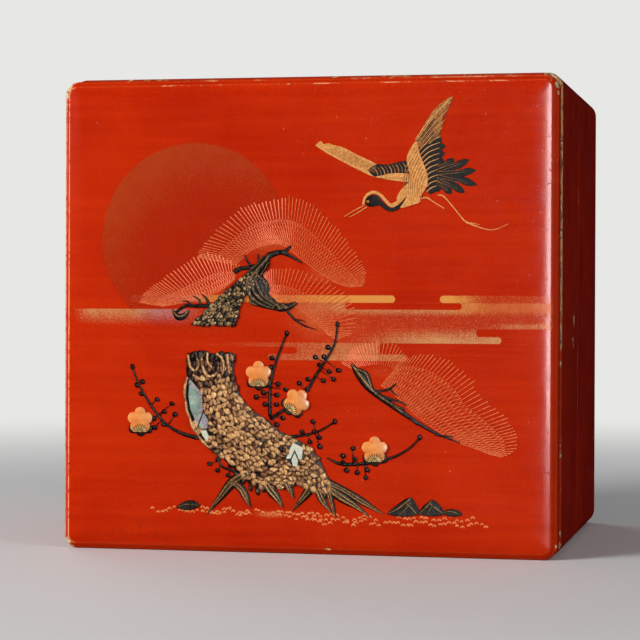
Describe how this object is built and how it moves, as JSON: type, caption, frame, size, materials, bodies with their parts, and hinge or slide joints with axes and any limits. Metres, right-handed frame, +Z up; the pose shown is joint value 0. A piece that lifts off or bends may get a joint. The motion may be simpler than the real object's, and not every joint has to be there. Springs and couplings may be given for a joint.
{
  "type": "tiered lacquer box",
  "caption": "Stacked box of a lift-off lid and hollow tiers that nest by inner lips, standing on its side, with a raised and inlaid plum, pine and crane picture on the lid.",
  "frame": {"origin": "on the surface the box stands on, under the middle of its bounding box", "axes": "+Z up, +X to the viewer's right across the lid's face, +Y from the lid to the base of the stack"},
  "size_m": [0.253, 0.2038, 0.24],
  "materials": {
    "lid_lacquer": "vermilion lacquer, glossy, with gold dust, gold lines and raised bark",
    "tier_lacquer": "vermilion lacquer, glossy, worn pale along the rims",
    "shell_inlay": "polished iridescent shell",
    "blossom_inlay": "satin peach-coloured inlay"
  },
  "bodies": {
    "root": {"lid": "lid_lacquer", "upper_tier": "tier_lacquer", "lower_tier": "tier_lacquer", "shell_long": "shell_inlay", "shell_wedge": "shell_inlay", "shell_chip": "shell_inlay", "shell_gate": "shell_inlay", "shell_kite": "shell_inlay", "blossom_left": "blossom_inlay", "blossom_top": "blossom_inlay", "blossom_right": "blossom_inlay", "blossom_low": "blossom_inlay"}
  },
  "joints": []
}
